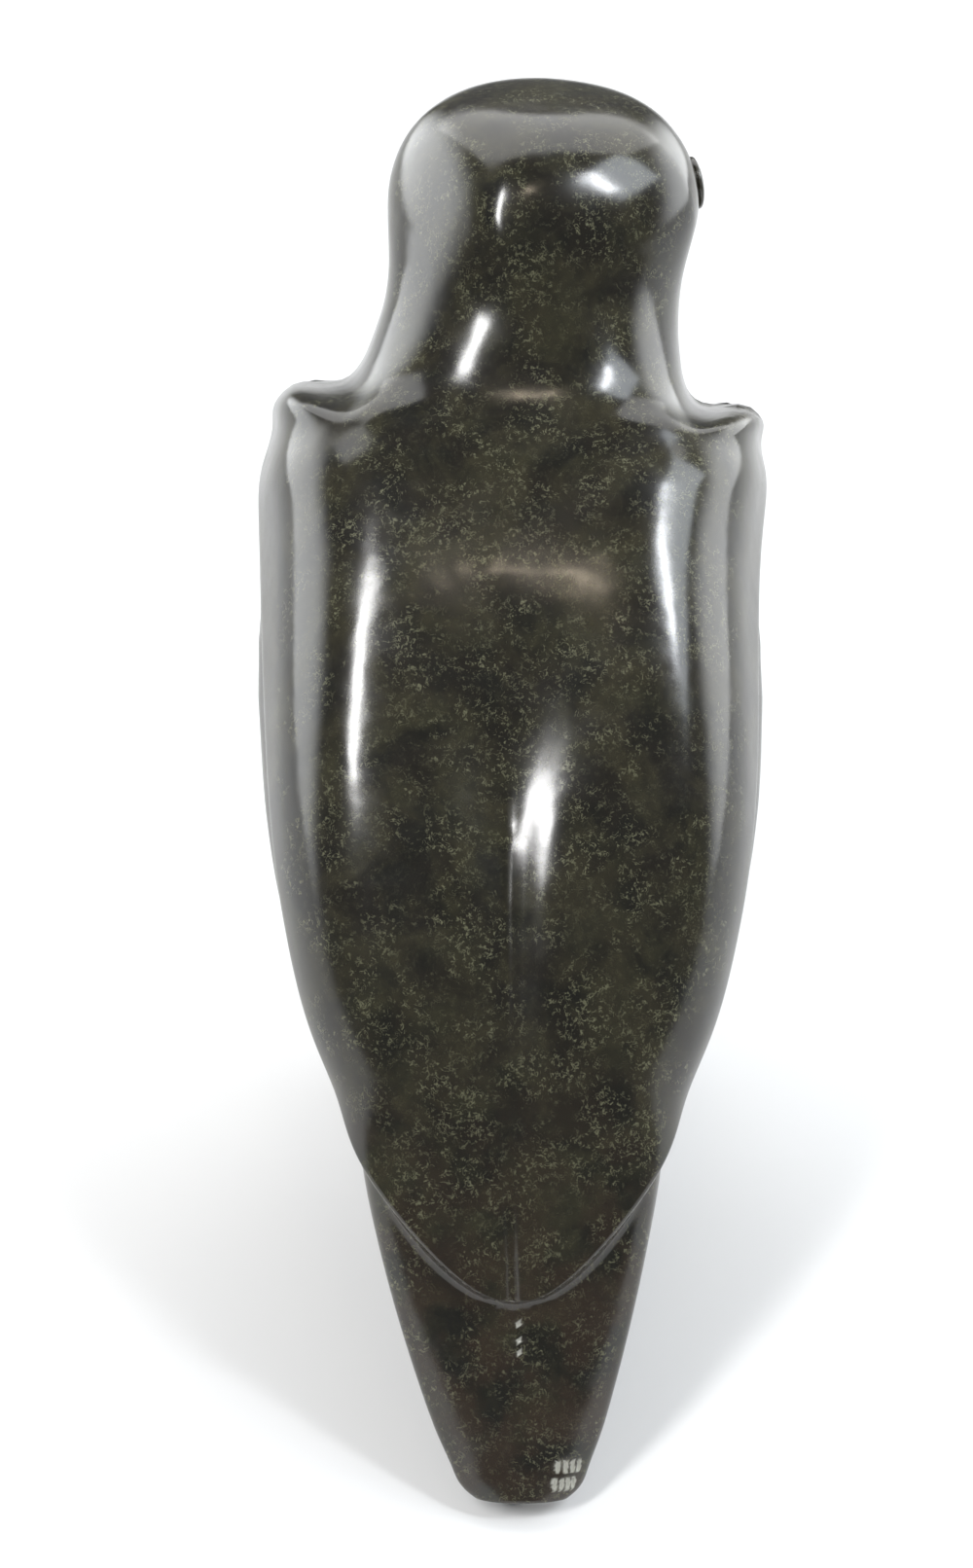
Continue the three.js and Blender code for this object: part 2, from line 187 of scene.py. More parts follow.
valley_width = curve((34, 4.4), (90, 4.8), (104, 5.6), (114, 7.4), (126, 10.5), (145, 15))

_slopes = np.radians(back_slope(np.arange(STEP / 2, CROWN_AT, STEP)))
BACK_Y = TAIL_END[0] - np.concatenate([[0], np.cumsum(STEP * np.cos(_slopes))])
BACK_Z = TAIL_END[1] + np.concatenate([[0], np.cumsum(STEP * np.sin(_slopes))])
BACK_AT = np.arange(len(BACK_Y)) * STEP


def back_point(s):
    return np.interp(s, BACK_AT, BACK_Y), np.interp(s, BACK_AT, BACK_Z)


NECK_AXIS_Y = back_point(NECK_AT + 12)[0] - 25


def dome_share(s):
    """How much smaller a section in the head's dome is than the one where the dome starts."""
    rise = np.clip((s - HEAD_DOME_AT) / (CROWN_AT - HEAD_DOME_AT), 0, 1)
    return np.cos(rise * math.pi / 2) ** 0.68


class Skin:
    """The bird's skin: a place along the back and an angle round the section give a point."""

    def __init__(self, shape):
        self.thickness = shape.wing_thickness / MM
        self.ledge = shape.wing_ledge / MM
        self.rounding = shape.tip_rounding / MM
        self.channel_depth = shape.channel_depth / MM
        self.channel_width = shape.channel_width / MM
        self.head_turn = shape.head_turn

    def turned(self, x, y, z, share, aside):
        turn = -self.head_turn * share
        y = y - NECK_AXIS_Y
        turned_x = x * np.cos(turn) - y * np.sin(turn) - aside
        turned_y = NECK_AXIS_Y + x * np.sin(turn) + y * np.cos(turn)
        return np.stack([turned_x, turned_y, z], axis=-1)

    def edge_angle(self, s, tip_at):
        """Angle round the section, from the middle of the back, of a wing's edge that ends at tip_at."""
        up = max(s - tip_at, 0)
        reach = math.sqrt((WING_TIP_SLANT * up) ** 2 + 2 * self.rounding * up) / half_width(s)
        held = reach / (1 + reach**8) ** (1 / 8)
        n = back_fullness(s)
        return math.atan2(held, (1 - held**n) ** (1 / n)) + math.radians(WING_WRAP - 90) * held**8

    def wing_height(self, s, x):
        """Height of the wing above the body, with the valley and the fine channel between the wings."""
        fade = 1 - 0.75 * ease(168, 190, s) - 0.25 * ease(186, 200, s)
        out = x - groove_at(s)
        valley = valley_depth(s) * np.exp(-((out / valley_width(s)) ** 2))
        channel = self.channel_depth * (1 - ease(98, 122, s)) * np.exp(-((out / self.channel_width) ** 2))
        return self.thickness * fade - valley - channel

    def shoulder_hollow(self, s, x):
        """The hollow between the wrist and the neck."""
        return -1.2 * np.exp(-(((s - WRIST_AT - 2) / 7) ** 2) - ((x - WRIST_INNER) / 5) ** 2)

    def shoulder_rise(self, s, x):
        """How far the top of the shoulder rises at the wrist's knuckle, and dips beside the neck."""
        knuckle = 1.5 * np.exp(-(((s - WRIST_AT) / 4) ** 2) - ((x - WRIST_OUTER) / 3.5) ** 2)
        dip = -1.3 * np.exp(-(((s - WRIST_AT - 2) / 4) ** 2) - ((x - WRIST_INNER) / 4) ** 2)
        return knuckle + dip

    def at(self, s, angle, side, wing):
        """A point of the skin, or a row of them. Side is 1 for the bird's left and -1 for its right."""
        s = np.asarray(s, float)
        angle = np.asarray(angle, float)
        share = dome_share(s)
        depth = body_depth(s) * share
        drop = WRIST_DROP * np.exp(-(((s - 184) / 11) ** 2)) if side < 0 else 0
        level = s + drop
        width = np.maximum(half_width(level) * share, 0.01)
        behind = angle < math.pi / 2
        n = np.where(behind, back_fullness(s), front_fullness(s))
        widest = widest_at(s)
        reach = np.maximum(np.where(behind, depth * widest, depth * (1 - widest)), 0.01)
        sine = np.abs(np.sin(angle))
        cosine = np.abs(np.cos(angle))
        r = (sine**n + cosine**n) ** (-1 / n)
        across = width * sine * r * np.where(behind, 1 - flare(s) * cosine * r, 1)
        way = np.where(behind, -1, 1)
        along = reach * cosine * r * way
        nx = (across / width) ** (n - 1) / width
        ny = way * (np.abs(along) / reach) ** (n - 1) / reach
        long = np.hypot(nx, ny)
        nx, ny = nx / long, ny / long
        height = self.shoulder_hollow(level, across) * (1 if wing else 0.4)
        rise = self.shoulder_rise(level, across)
        if wing:
            height = height + self.wing_height(s, side * across)
        tilt = np.radians(axis_tilt(s))
        inward = depth * widest + along + ny * height
        y, z = back_point(s)
        x = side * (across + nx * height)
        y = y - np.sin(tilt) * inward - np.cos(tilt) * rise
        z = z - np.cos(tilt) * inward + np.sin(tilt) * rise
        return self.turned(x, y, z, ease(NECK_AT, NECK_AT + 30, s), sway(s))


# ---- building blocks -----------------------------------------------------------------------------


class Clay:
    """Collects points and faces, in millimetres, and gives back a Blender mesh with its doubles merged."""

    def __init__(self):
        self.points = []
        self.faces = []

    def add(self, p):
        self.points.append(tuple(float(c) for c in p))
        return len(self.points) - 1

    def row(self, ps):
        return [self.add(p) for p in ps]

    def strip(self, low, high, flip=False):
        for k in range(len(low) - 1):
            quad = (low[k], low[k + 1], high[k + 1], high[k])
            self.faces.append(quad[::-1] if flip else quad)

    def to_bmesh(self):
        bm = bmesh.new()
        verts = [bm.verts.new(p) for p in self.points]
        for face in self.faces:
            if len(set(face)) > 2:
                bm.faces.new([verts[i] for i in dict.fromkeys(face)])
        bmesh.ops.remove_doubles(bm, verts=bm.verts, dist=1e-3)
        bmesh.ops.dissolve_degenerate(bm, edges=bm.edges, dist=1e-4)
        bmesh.ops.recalc_face_normals(bm, faces=bm.faces)
        return bm


def object_from(bm, name):
    """An object in metres from a bmesh in millimetres."""
    bmesh.ops.scale(bm, vec=(MM, MM, MM), verts=bm.verts)
    mesh = bpy.data.meshes.new(name)
    bm.to_mesh(mesh)
    bm.free()
    made = bpy.data.objects.new(name, mesh)
    bpy.context.scene.collection.objects.link(made)
    return made


def spread(low, high, count, power=1.0):
    """Places after low, up to high, closer together at the start where power is above 1."""
    return [low + (high - low) * (i / count) ** power for i in range(1, count + 1)]


def loft(first, rings, last):
    """A closed surface through rings of equally many points, with a point at each end."""
    clay = Clay()
    a = clay.add(first)
    ids = [clay.row(ring) for ring in rings]
    b = clay.add(last)
    for low, high in zip(ids, ids[1:]):
        clay.strip(low + low[:1], high + high[:1])
    for ring, pole in ((ids[0], a), (ids[-1], b)):
        for k in range(len(ring)):
            clay.faces.append((ring[k], ring[(k + 1) % len(ring)], pole))
    return clay.to_bmesh()


def smooth_joints(joints, per_joint):
    """Rows of a limb between its named joints, on smooth curves."""
    places = np.arange(len(joints), dtype=float)
    curves = [curve(*zip(places, column)) for column in zip(*joints)]
    fine = np.linspace(0, len(joints) - 1, (len(joints) - 1) * per_joint + 1)
    return np.stack([c(fine) for c in curves], axis=1)


def limb(joints, around, per_joint=6):
    """A limb of round section along a bent line: each joint is x, y, z, half width, half height."""
    rows = smooth_joints(joints, per_joint)
    at = rows[:, :3]
    turns = np.linspace(0, 2 * math.pi, around, endpoint=False)
    rings = []
    for i, row in enumerate(rows):
        along = at[min(i + 1, len(at) - 1)] - at[max(i - 1, 0)]
        along /= np.linalg.norm(along)
        upward = np.cross(along, (1, 0, 0))
        upward /= np.linalg.norm(upward)
        aside = np.cross(upward, along)
        rings.append([row[:3] + aside * row[3] * math.cos(t) + upward * row[4] * math.sin(t) for t in turns])

    def cap(end, inner):
        """A few shrinking rings that round off an end."""
        out = at[end] - at[inner]
        out = out / np.linalg.norm(out) * rows[end][4] * 0.35
        centre = at[end]
        made = []
        for share in (0.35, 0.65, 0.88):
            shrink = math.sqrt(1 - share * share)
            made.append([centre + (p - centre) * shrink + out * share for p in np.array(rings[end])])
        return made, centre + out

    low, first = cap(0, 1)
    high, last = cap(len(rings) - 1, len(rings) - 2)
    return loft(first, low[::-1] + rings + high, last)


# ---- the bird and its rock -----------------------------------------------------------------------

WING_COLUMNS = 46
LEDGE_COLUMNS = 2
BODY_COLUMNS = 56


def bird_skin(skin):
    """The bird as one closed surface, with the wings' edge as a crisp step."""
    clay = Clay()
    under_tip = WING_TIP_AT - skin.ledge
    places = [0.0]
    places += spread(0, under_tip, 46, 1.4)
    tip_row = len(places) - 1
    places += spread(under_tip, WING_TIP_AT, 5, 2)
    places += spread(WING_TIP_AT, WING_TIP_AT + 30, 44, 2)
    places += spread(WING_TIP_AT + 30, 174, 130)
    places += spread(174, 192, 32)
    places += spread(192, CROWN_AT - 0.4, 56)
    rows = []
    for i, s in enumerate(places):
        edge = skin.edge_angle(s, WING_TIP_AT)
        wall_width = 0.5 * skin.ledge * ease(under_tip, WING_TIP_AT + 8, s)
        under = skin.edge_angle(s, under_tip) + wall_width / half_width(s)
        row = {}
        for side in (1, -1):
            body = skin.at(s, under + (math.pi - under) * np.linspace(0, 1, BODY_COLUMNS + 1), side, False)
            points = []
            if i >= tip_row:
                wing = skin.at(max(s, WING_TIP_AT), edge * np.linspace(0, 1, WING_COLUMNS + 1), side, True)
                step = (body[0] - wing[-1]) / (LEDGE_COLUMNS + 1)
                points = [*wing, *(wing[-1] + step * k for k in range(1, LEDGE_COLUMNS + 1))]
            row[side] = (clay.row(points), clay.row(body))
        rows.append(row)
    for low, high in zip(rows, rows[1:]):
        for side in (1, -1):
            clay.strip(low[side][1], high[side][1], side > 0)
            if low[side][0]:
                clay.strip(low[side][0] + low[side][1][:1], high[side][0] + high[side][1][:1], side > 0)
    first, last = rows[0], rows[-1]
    tail_end = (skin.at(0, 0, 1, False) + skin.at(0, math.pi, 1, False)) / 2
    end = clay.add(tail_end + np.array((0, 0.2, -0.5)))
    crown = clay.add(skin.at(CROWN_AT, 0, 1, False))
    for row, pole in ((first, end), (last, crown)):
        for side in (1, -1):
            loop = row[side][0] + row[side][1]
            for a, b in zip(loop, loop[1:]):
                clay.faces.append((a, b, pole))
    return clay.to_bmesh()


def mound(levels, around, per_level=5):
    """A closed mound. Each level has a height, front end, back end, half width and narrowing to the back."""
    rows = smooth_joints(levels, per_level)
    turns = np.linspace(0, 2 * math.pi, around, endpoint=False)
    lengthwise = -np.sign(np.cos(turns)) * np.abs(np.cos(turns)) ** 0.85
    full = np.sign(np.sin(turns)) * np.abs(np.sin(turns)) ** 0.85
    rings = []
    for z, front, back, width, narrowing in rows:
        across = width * full * (1 - narrowing * lengthwise)
        along = (front + back) / 2 + (back - front) / 2 * lengthwise
        rings.append(list(zip(across, along, [z] * around)))

    def centre(level):
        return (0, (level[1] + level[2]) / 2, level[0])

    return loft(centre(levels[0]), rings, centre(levels[-1]))


ROCK = (
    (0, -56, 79, 20.2, 0.58), (1.5, -58, 80, 21, 0.58), (7, -57, 79, 21, 0.56), (10.5, -53, 74, 19, 0.54),
    (12, -45, 66, 15, 0.5),
)
CORE = (
    (5, -22, 74, 14, 0.42), (12, -20, 73, 13, 0.3), (18, -18, 70, 12.5, 0.2), (28, -20, 63, 13.5, 0.1),
    (38, -26, 56, 17, 0.1), (46, -22, 42, 20, 0), (62, -20, 30, 16, 0),
)


def leg(side):
    thigh = (
        (side * 15, -2, 62, 6, 6), (side * 18, -9, 56, 10.5, 12), (side * 18, -16, 46, 11, 12.5),
        (side * 16, -19, 36, 9, 9.5), (side * 14, -19, 27, 6.5, 6.5), (side * 13, -18, 22, 5, 5),
    )
    shank = (
        (side * 14, -19, 32, 5.5, 5.5), (side * 13, -18, 24, 4.6, 4.6), (side * 13, -17, 16, 4.8, 4.8),
        (side * 13, -16, 10, 6, 6),
    )
    parts = [limb(thigh, 56, 8), limb(shank, 40, 8)]
    for splay in (-24, 0, 22):
        turn = math.radians(splay) * side

        def out(reach):
            return side * 13 + math.sin(turn) * reach, -17 - math.cos(turn) * reach

        parts.append(limb((
            (*out(-2), 13, 3.6, 3.6), (*out(5), 14.2, 3.3, 3.2), (*out(12), 13.2, 3, 3),
            (*out(18), 12.4, 2.6, 2.4), (*out(22), 12, 1.5, 1.7), (*out(25), 11, 0.6, 0.8),
        ), 24, 6))
    return parts


BEAK = (
    (-7, 172, 8.5, 10), (-1, 172, 7.4, 9.6), (5, 171.5, 5.8, 8), (10, 168.8, 4.6, 6.4), (13.4, 164, 3.2, 4.6),
    (14.6, 158.6, 1.9, 2.8), (13.8, 154.6, 0.8, 1.1),
)


NECK_TO_FACE = 26.0  # from the neck's axis to the face
BEAK_REACH = 0.975  # keeps the smooth beak inside the faceted one


def beak(skin):
    joints = []
    for forward, z, width, height in BEAK:
        p = skin.turned(0.0, NECK_AXIS_Y - NECK_TO_FACE - BEAK_REACH * forward, z, 1, 5)
        joints.append((*p, width, height))
    return limb(joints, 40, 8)


EYE_AT = (209, math.radians(118))  # along the back, and round the section
EYE_RADIUS = 4.6
EYE_FLATNESS = 0.26


def eye_seat(skin, side):
    s, angle = EYE_AT
    p = skin.at(s, angle, side, False)
    over = skin.at(s + 1, angle, side, False) - p
    aside = skin.at(s, angle + 0.05, side, False) - p
    out = Vector(np.cross(aside, over) * side).normalized()
    return Matrix.Translation(Vector(p)) @ Vector((0, 0, 1)).rotation_difference(out).to_matrix().to_4x4()


def eye_ball(skin, side):
    bm = bmesh.new()
    bmesh.ops.create_uvsphere(bm, u_segments=48, v_segments=24, radius=EYE_RADIUS)
    bmesh.ops.scale(bm, vec=(1, 1, EYE_FLATNESS), verts=bm.verts)
    bmesh.ops.transform(bm, matrix=eye_seat(skin, side), verts=bm.verts)
    return bm


def eye_ring(skin, side, radius=5.6, thick=0.7):
    """A ring to cut out round the eye."""
    clay = Clay()
    around, small = 64, 12
    rings = []
    for i in range(around):
        a = 2 * math.pi * i / around
        ring = []
        for j in range(small):
            b = 2 * math.pi * j / small
            r = radius + thick * math.cos(b)
            ring.append((r * math.cos(a), r * math.sin(a), thick * math.sin(b)))
        rings.append(clay.row(ring))
    for low, high in zip(rings, rings[1:] + rings[:1]):
        clay.strip(low + low[:1], high + high[:1])
    bm = clay.to_bmesh()
    bmesh.ops.transform(bm, matrix=eye_seat(skin, side), verts=bm.verts)
    return bm


TAIL_LEAN = math.radians(27)  # of the tail's back, from upright
STROKE = (0.3, 2.0)  # radius and length
SPECK = (0.35, 0.7)
STROKE_ROWS = (3.4, 6.2)  # along the back, from the end of the tail
STROKE_TURNS = (30, 37, 44, 51)  # degrees round the section, on the bird's right
SPECK_ROWS = (25.5, 27.6, 30.2)
SPECK_TURN = math.radians(1.5)
CHALK_RADIUS = 0.36
CHALK_REACH = 1.1


def marks_tree():
    """Geometry nodes: one short rounded cutter on each point, each turned and sized a little differently."""
    tree = bpy.data.node_groups.new("shallow marks", "GeometryNodeTree")
    tree.interface.new_socket(name="Geometry", in_out="INPUT", socket_type="NodeSocketGeometry")
    for name, kind in (
        ("Radius", "NodeSocketFloat"), ("Length", "NodeSocketFloat"), ("Lean", "NodeSocketFloat"),
        ("Seed", "NodeSocketInt"), ("Material", "NodeSocketMaterial"),
    ):
        tree.interface.new_socket(name=name, in_out="INPUT", socket_type=kind)
    tree.interface.new_socket(name="Geometry", in_out="OUTPUT", socket_type="NodeSocketGeometry")
    n = Nodes(tree)
    given = n.add("NodeGroupInput").outputs
    ball = n.add("GeometryNodeMeshUVSphere", {"Segments": 10, "Rings": 8, "Radius": 1.0})
    half = n.maths("MULTIPLY", given["Length"], 0.5)
    size = n.add("ShaderNodeCombineXYZ", {"X": given["Radius"], "Y": given["Radius"], "Z": half})
    shaped = n.add("GeometryNodeTransform", {"Geometry": ball.outputs["Mesh"], "Scale": size.outputs["Vector"]})
    turn = n.add("FunctionNodeRandomValue", {"Seed": given["Seed"]}, data_type="FLOAT_VECTOR")
    turn.inputs["Min"].default_value = (0, -0.25, 0)
    turn.inputs["Max"].default_value = (0, 0.25, 0)
    lean = n.add("ShaderNodeCombineXYZ", {"X": given["Lean"], "Y": 0.0, "Z": 0.0})
    angle = n.add("ShaderNodeVectorMath", {0: lean.outputs["Vector"], 1: turn.outputs["Value"]}, operation="ADD")
    grow = n.add("FunctionNodeRandomValue", {"Seed": given["Seed"]}, data_type="FLOAT")
    low, high = [s for s in grow.inputs if s.type == "VALUE" and s.enabled][:2]
    low.default_value, high.default_value = 0.75, 1.15
    share = next(s for s in grow.outputs if s.enabled)
    placed = n.add("GeometryNodeInstanceOnPoints", {
        "Points": given["Geometry"], "Instance": shaped.outputs["Geometry"],
        "Rotation": angle.outputs["Vector"], "Scale": share,
    })
    real = n.add("GeometryNodeRealizeInstances", {"Geometry": placed.outputs["Instances"]})
    done = n.add("GeometryNodeSetMaterial", {
        "Geometry": real.outputs["Geometry"], "Material": given["Material"],
    })
    n.add("NodeGroupOutput", {"Geometry": done.outputs["Geometry"]})
    return tree


def marks(places, radius, long, seed):
    """Cutters for short shallow marks at the places on the tail, along the tail's slope."""
    mesh = bpy.data.meshes.new("marks")
    mesh.from_pydata([tuple(p) for p in places], [], [])
    holder = bpy.data.objects.new("marks", mesh)
    bpy.context.scene.collection.objects.link(holder)
    modifier = holder.modifiers.new("marks", "NODES")
    modifier.node_group = bpy.data.node_groups.get("shallow marks") or marks_tree()
    values = {"Radius": radius, "Length": long, "Lean": TAIL_LEAN, "Seed": seed}
    for item in modifier.node_group.interface.items_tree:
        if item.name in values:
            modifier[item.identifier] = values[item.name]
    graph = bpy.context.evaluated_depsgraph_get()
    made = bpy.data.meshes.new_from_object(holder.evaluated_get(graph))
    bm = bmesh.new()
    bm.from_mesh(made)
    bpy.data.objects.remove(holder)
    for spare in (mesh, made):
        bpy.data.meshes.remove(spare)
    return bm


def chalk(piece, places):
    """Notes on each point whether it lies in a mark, where the bruised stone shows pale."""
    points = np.empty(len(piece.data.vertices) * 3)
    piece.data.vertices.foreach_get("co", points)
    points = points.reshape(-1, 3) / MM
    along = np.array((0, -math.sin(TAIL_LEAN), math.cos(TAIL_LEAN)))
    pale = np.zeros(len(points))
    for place in places:
        away = points - place
        run = away @ along
        off = np.linalg.norm(away - run[:, None] * along, axis=1)
        pale = np.maximum(pale, (off < CHALK_RADIUS) * (np.abs(run) < CHALK_REACH))
    attribute = piece.data.attributes.new("chalk", "FLOAT", "POINT")
    attribute.data.foreach_set("value", pale.astype(np.float32))


def joined(base, parts, operation):
    """The base object after a boolean with each of the bmeshes, made one after the other."""
    group = bpy.data.collections.new("cutters")
    bpy.context.scene.collection.children.link(group)
    tools = []
    for k, part in enumerate(parts):
        tool = object_from(part, f"tool_{k}")
        bpy.context.scene.collection.objects.unlink(tool)
        group.objects.link(tool)
        tools.append(tool)
    modifier = base.modifiers.new("join", "BOOLEAN")
    modifier.operation = operation
    modifier.solver = "EXACT"
    modifier.operand_type = "COLLECTION"
    modifier.collection = group
    graph = bpy.context.evaluated_depsgraph_get()
    mesh = bpy.data.meshes.new_from_object(base.evaluated_get(graph))
    base.modifiers.clear()
    old = base.data
    base.data = mesh
    bpy.data.meshes.remove(old)
    for tool in tools:
        data = tool.data
        bpy.data.objects.remove(tool)
        bpy.data.meshes.remove(data)
    bpy.data.collections.remove(group)


CREASE_ANGLE = math.radians(28)
CREASE_ROUNDS = 5
WEAR_AND_HIGHLIGHT_ROUNDS = 2
GROUND_LEVEL = 0.05 * MM  # points below this belong to the flat underside


def soften_creases(piece, angle, rounds, wear_and_highlight_rounds):
    """Rounds the sharp creases of a dense mesh a little, and notes on each point how much its convex crease is
    painted paler: partly wear, partly a painted highlight line along the edge.
    """
    bm = bmesh.new()
    bm.from_mesh(piece.data)
    pale_stone_and_highlight = bm.verts.layers.float.new("pale_stone_and_highlight")
    creased = set()
    for edge in bm.edges:
        if len(edge.link_faces) != 2 or min(v.co.z for v in edge.verts) < GROUND_LEVEL:
            continue
        bend = edge.calc_face_angle_signed(0.0)
        if abs(bend) > angle:
            creased.update(edge.verts)
            # Convex creases are marked for the paler edge colour: partly wear, partly a painted highlight along
            # the edge.
            if bend > 0:
                for v in edge.verts:
                    v[pale_stone_and_highlight] = 1.0
    ring = set(creased)
    for v in creased:
        ring.update(e.other_vert(v) for e in v.link_edges)
    ring = [v for v in ring if v.co.z > GROUND_LEVEL]
    for _ in range(rounds):
        bmesh.ops.smooth_vert(bm, verts=ring, factor=0.5, use_axis_x=True, use_axis_y=True, use_axis_z=True)
    for _ in range(wear_and_highlight_rounds):
        spread_out = {}
        for v in ring:
            spread_out[v] = sum(e.other_vert(v)[pale_stone_and_highlight] for e in v.link_edges) / len(v.link_edges)
        for v, value in spread_out.items():
            v[pale_stone_and_highlight] = 0.5 * v[pale_stone_and_highlight] + 0.5 * value
    bm.to_mesh(piece.data)
    bm.free()


# ---- materials -----------------------------------------------------------------------------------


def linear(rgb):
    """Screen colour to the linear colour that a shader reads."""
    return (*(c / 12.92 if c <= 0.04045 else ((c + 0.055) / 1.055) ** 2.4 for c in rgb), 1.0)


class Nodes:
    """Makes and links the nodes of one tree."""

    def __init__(self, tree):
        self.tree = tree
        self.column = 0

    def add(self, kind, inputs=None, **values):
        node = self.tree.nodes.new(kind)
        node.location = (self.column * 180, -(self.column % 5) * 160)
        self.column += 1
        for name, value in values.items():
            setattr(node, name, value)
        for name, value in (inputs or {}).items():
            self.feed(node, name, value)
        return node

    def feed(self, node, name, value):
        socket = node.inputs[name]
        if isinstance(value, bpy.types.NodeSocket):
            self.tree.links.new(value, socket)
        else:
            socket.default_value = value

    def noise(self, vector, scale, detail=2.0, roughness=0.5, distortion=0.0):
        made = self.add("ShaderNodeTexNoise", {
            "Vector": vector, "Scale": scale, "Detail": detail, "Roughness": roughness, "Distortion": distortion,
        })
        return made.outputs["Fac"]

    def maths(self, operation, a, b=0.0, c=None, clamp=False):
        values = {0: a, 1: b} if c is None else {0: a, 1: b, 2: c}
        return self.add("ShaderNodeMath", values, operation=operation, use_clamp=clamp).outputs[0]

    def ramp(self, value, low, high, to_low=0.0, to_high=1.0):
        """A smooth step from to_low to to_high as the value goes from low to high."""
        made = self.add("ShaderNodeMapRange", {
            "Value": value, "From Min": low, "From Max": high, "To Min": to_low, "To Max": to_high,
        }, interpolation_type="SMOOTHSTEP")
        return made.outputs["Result"]

    def mix(self, share, a, b, blend="MIX"):
        made = self.add("ShaderNodeMix", data_type="RGBA", blend_type=blend)
        self.feed(made, "Factor", share)
        for socket, value in zip([s for s in made.inputs if s.type == "RGBA"], (a, b)):
            if isinstance(value, bpy.types.NodeSocket):
                self.tree.links.new(value, socket)
            else:
                socket.default_value = value
        return next(s for s in made.outputs if s.type == "RGBA")

    def group(self, tree, inputs):
        made = self.add("ShaderNodeGroup")
        made.node_tree = tree
        for name, value in inputs.items():
            self.feed(made, name, value)
        return made


def group_tree(name, inputs, outputs):
    tree = bpy.data.node_groups.new(name, "ShaderNodeTree")
    for socket, kind, default in inputs:
        made = tree.interface.new_socket(name=socket, in_out="INPUT", socket_type=kind)
        if default is not None:
            made.default_value = default
    for socket, kind in outputs:
        tree.interface.new_socket(name=socket, in_out="OUTPUT", socket_type=kind)
    return tree


def stone_grain():
    """Cloudy ground colour with clusters of fine worm-like flecks."""
    tree = group_tree("stone grain", (
        ("Point", "NodeSocketVector", None), ("Ground", "NodeSocketColor", (0.01, 0.01, 0.01, 1)),
        ("Cloud", "NodeSocketColor", (0.03, 0.03, 0.03, 1)), ("Warm", "NodeSocketColor", (0.03, 0.02, 0.02, 1)),
        ("Fleck", "NodeSocketColor", (0.2, 0.2, 0.2, 1)), ("Fleck Size", "NodeSocketFloat", 1.1),
        ("Cloud Size", "NodeSocketFloat", 11.0), ("Warmth", "NodeSocketFloat", 0.0),
    ), (("Color", "NodeSocketColor"), ("Flecks", "NodeSocketFloat"), ("Clouds", "NodeSocketFloat")))
    n = Nodes(tree)
    given = n.add("NodeGroupInput").outputs
    point = given["Point"]
    per_cloud = n.maths("DIVIDE", 1.0, given["Cloud Size"])
    per_fleck = n.maths("DIVIDE", 1.0, given["Fleck Size"])
    clouds = n.ramp(n.noise(point, per_cloud, 5.0, 0.62, 0.6), 0.38, 0.62)
    veil = n.noise(point, n.maths("MULTIPLY", per_cloud, 5.0), 3.0, 0.65)
    depth = n.maths("MULTIPLY", clouds, n.ramp(veil, 0.25, 0.75, 0.45, 1.0))
    ground = n.mix(depth, given["Ground"], given["Cloud"])
    patches = n.ramp(n.noise(point, n.maths("MULTIPLY", per_cloud, 1.7), 3.0), 0.35, 0.6)
    warm = n.maths("MULTIPLY", given["Warmth"], patches)
    ground = n.mix(warm, ground, given["Warm"])
    # A fleck is a short piece of a thin line where two noises cross their middle values.
    line = n.maths("ABSOLUTE", n.maths("SUBTRACT", n.noise(point, per_fleck, 2.0, 0.55, 0.9), 0.5))
    thin = n.ramp(line, 0.014, 0.045, 0.85, 0.0)
    pieces = n.ramp(n.noise(point, n.maths("MULTIPLY", per_fleck, 0.85), 1.0), 0.46, 0.58)
    cluster = n.ramp(n.noise(point, n.maths("MULTIPLY", per_cloud, 1.5), 3.0, 0.6, 0.4), 0.4, 0.62, 0.12, 1.0)
    specks = n.maths("MULTIPLY", n.maths("MULTIPLY", thin, pieces), cluster)
    grit = n.ramp(n.noise(point, n.maths("MULTIPLY", per_fleck, 2.4), 1.0), 0.68, 0.76)
    flecks = n.maths("MAXIMUM", specks, n.maths("MULTIPLY", n.maths("MULTIPLY", grit, cluster), 0.55))
    colour_ = n.mix(flecks, ground, given["Fleck"])
    n.add("NodeGroupOutput", {"Color": colour_, "Flecks": flecks, "Clouds": clouds})
    return tree


